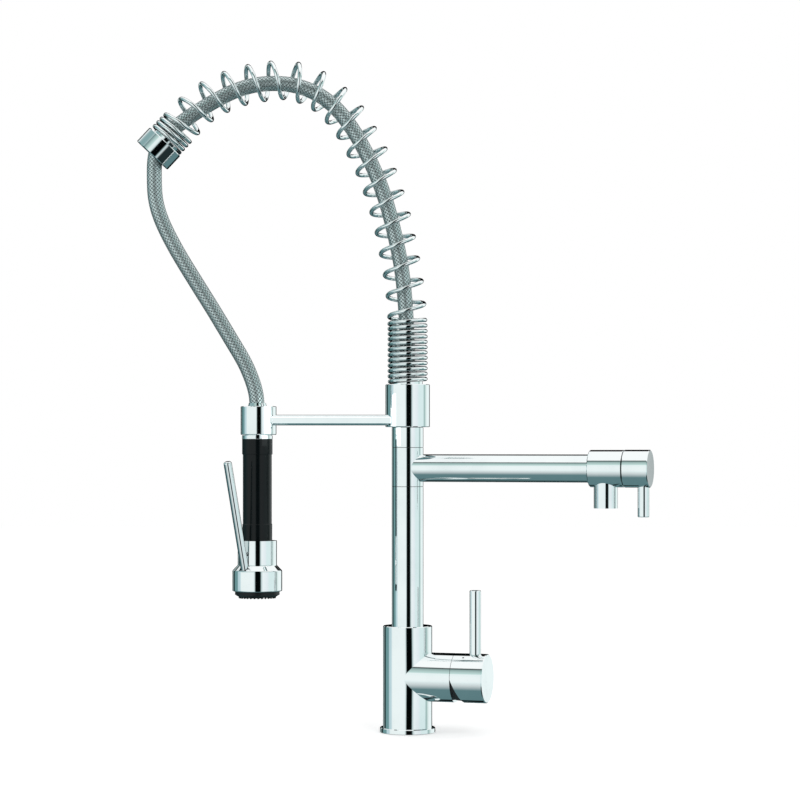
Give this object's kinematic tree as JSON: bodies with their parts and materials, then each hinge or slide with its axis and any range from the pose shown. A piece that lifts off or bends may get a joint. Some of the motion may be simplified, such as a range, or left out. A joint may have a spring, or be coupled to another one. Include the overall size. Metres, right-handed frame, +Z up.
{
  "type": "kitchen faucet",
  "caption": "Deck-mounted kitchen faucet with a lever mixer, a long spout with its own shut-off knob, and a spring-guided hose to a pull-down hand spray in a holder arm.",
  "frame": {"origin": "on the column's axis, in the plane of the sink deck that the gasket rests on", "axes": "+Z up along the column; -X towards the holder arm and the hand spray; the spout and the mixer handle point towards +X and 17 degrees towards -Y, the side that a person stands on"},
  "size_m": [0.5105, 0.1192, 0.6708],
  "materials": {
    "chrome": "polished",
    "spring_wire": "polished",
    "stainless": "satin",
    "brass": "machined",
    "ceramic": "polished",
    "seal_rubber": "matt",
    "grip_rubber": "glossy",
    "nozzle_rubber": "matt",
    "dark_plastic": "matt",
    "white_plastic": "matt",
    "braid": "finely braided",
    "index": "smooth"
  },
  "bodies": {
    "base": {"deck_flange": "chrome", "base_gasket": "seal_rubber", "mixer_body": "chrome", "cartridge_seal": "seal_rubber", "cartridge_housing": "dark_plastic", "fixed_ceramic_disc": "ceramic", "cartridge_nut": "brass", "cartridge_cover": "chrome", "lower_column": "chrome", "column_core": "brass", "column_o_rings": "seal_rubber", "spout_slip_washers": "dark_plastic", "upper_column": "chrome", "collar_slip_washer": "dark_plastic", "retaining_ring": "stainless"},
    "mixer_rotor": {"cartridge_rotor": "dark_plastic", "tilt_pin": "stainless"},
    "mixer_disc": {"moving_ceramic_disc": "ceramic"},
    "mixer_handle": {"handle_spindle": "brass", "handle_cap": "chrome", "handle_lever": "chrome", "index_dot": "index"},
    "spout": {"spout_hub": "chrome", "spout_tube": "chrome", "spout_valve_body": "chrome", "outlet_nozzle": "chrome", "aerator": "white_plastic", "aerator_washer": "seal_rubber", "shutoff_cartridge": "brass", "shutoff_fixed_disc": "ceramic"},
    "spout_knob": {"shutoff_moving_disc": "ceramic", "shutoff_spindle": "brass", "valve_knob": "chrome", "knob_pin": "chrome"},
    "spring_arm": {"swivel_collar": "chrome", "collar_bush": "white_plastic", "collar_lid": "chrome", "hose_connector": "brass", "connector_o_ring": "seal_rubber", "lower_hose_ferrule": "stainless", "support_spring": "spring_wire", "spring_end_cap": "chrome", "arch_hose": "braid", "hanging_hose": "braid", "holder_arm": "chrome", "holder_ring": "chrome", "holder_liner": "white_plastic"},
    "spray": {"hose_ferrule": "chrome", "docking_neck": "chrome", "check_valve": "white_plastic", "grip_tube": "dark_plastic", "grip_sleeve": "grip_rubber", "spray_body": "chrome", "valve_seat_plug": "chrome", "valve_spring": "stainless", "lever_pivot_pin": "stainless", "flow_plate": "white_plastic", "spray_face": "nozzle_rubber"},
    "spray_lever": {"spray_lever": "chrome"},
    "spray_valve": {"valve_plunger": "stainless"}
  },
  "joints": [
    {"name": "spray_arm_swivel", "type": "hinge", "parent": "base", "child": "spring_arm", "pos_m": [0, 0, 0.3048], "axis": [0, 0, 1], "range_deg": [-60, 60]},
    {"name": "spout_swivel", "type": "hinge", "parent": "base", "child": "spout", "pos_m": [0, 0, 0.2638], "axis": [0, 0, 1], "range_deg": [-70, 70]},
    {"name": "spout_valve_turn", "type": "hinge", "parent": "spout", "child": "spout_knob", "pos_m": [0.21935, -0.06916, 0.2638], "axis": [-0.9537, 0.3007, 0], "range_deg": [0, 90]},
    {"name": "mixer_temperature", "type": "hinge", "parent": "base", "child": "mixer_rotor", "pos_m": [0.05355, -0.01637, 0.0555], "axis": [0.9563, -0.2924, 0], "range_deg": [-45, 45]},
    {"name": "mixer_flow", "type": "hinge", "parent": "mixer_rotor", "child": "mixer_handle", "pos_m": [0.05355, -0.01637, 0.0555], "axis": [0.2924, 0.9563, 0], "range_deg": [0, 20]},
    {"name": "mixer_disc_slide", "type": "slide", "parent": "mixer_rotor", "child": "mixer_disc", "axis": [0, 0, 1], "range_m": [0, 0.007]},
    {"name": "spray_dock", "type": "slide", "parent": "spring_arm", "child": "spray", "axis": [0, 0, -1], "range_m": [0, 0.045], "deforming": ["hanging_hose"]},
    {"name": "spray_lever_hinge", "type": "hinge", "parent": "spray", "child": "spray_lever", "pos_m": [-0.16068, -0.01483, 0.1565], "axis": [-0.8192, 0.5736, 0], "range_deg": [0, 8], "stiffness_Nm_per_rad": 2, "springref_deg": -5.73},
    {"name": "spray_valve_slide", "type": "slide", "parent": "spray", "child": "spray_valve", "axis": [0.5736, 0.8192, 0], "range_m": [0, 0.003], "deforming": ["valve_spring"]}
  ],
  "couplings": [
    {"joint": "mixer_disc_slide", "follows": "mixer_flow", "m_per_rad": 0.02},
    {"joint": "spray_valve_slide", "follows": "spray_lever_hinge", "m_per_rad": 0.021375}
  ]
}
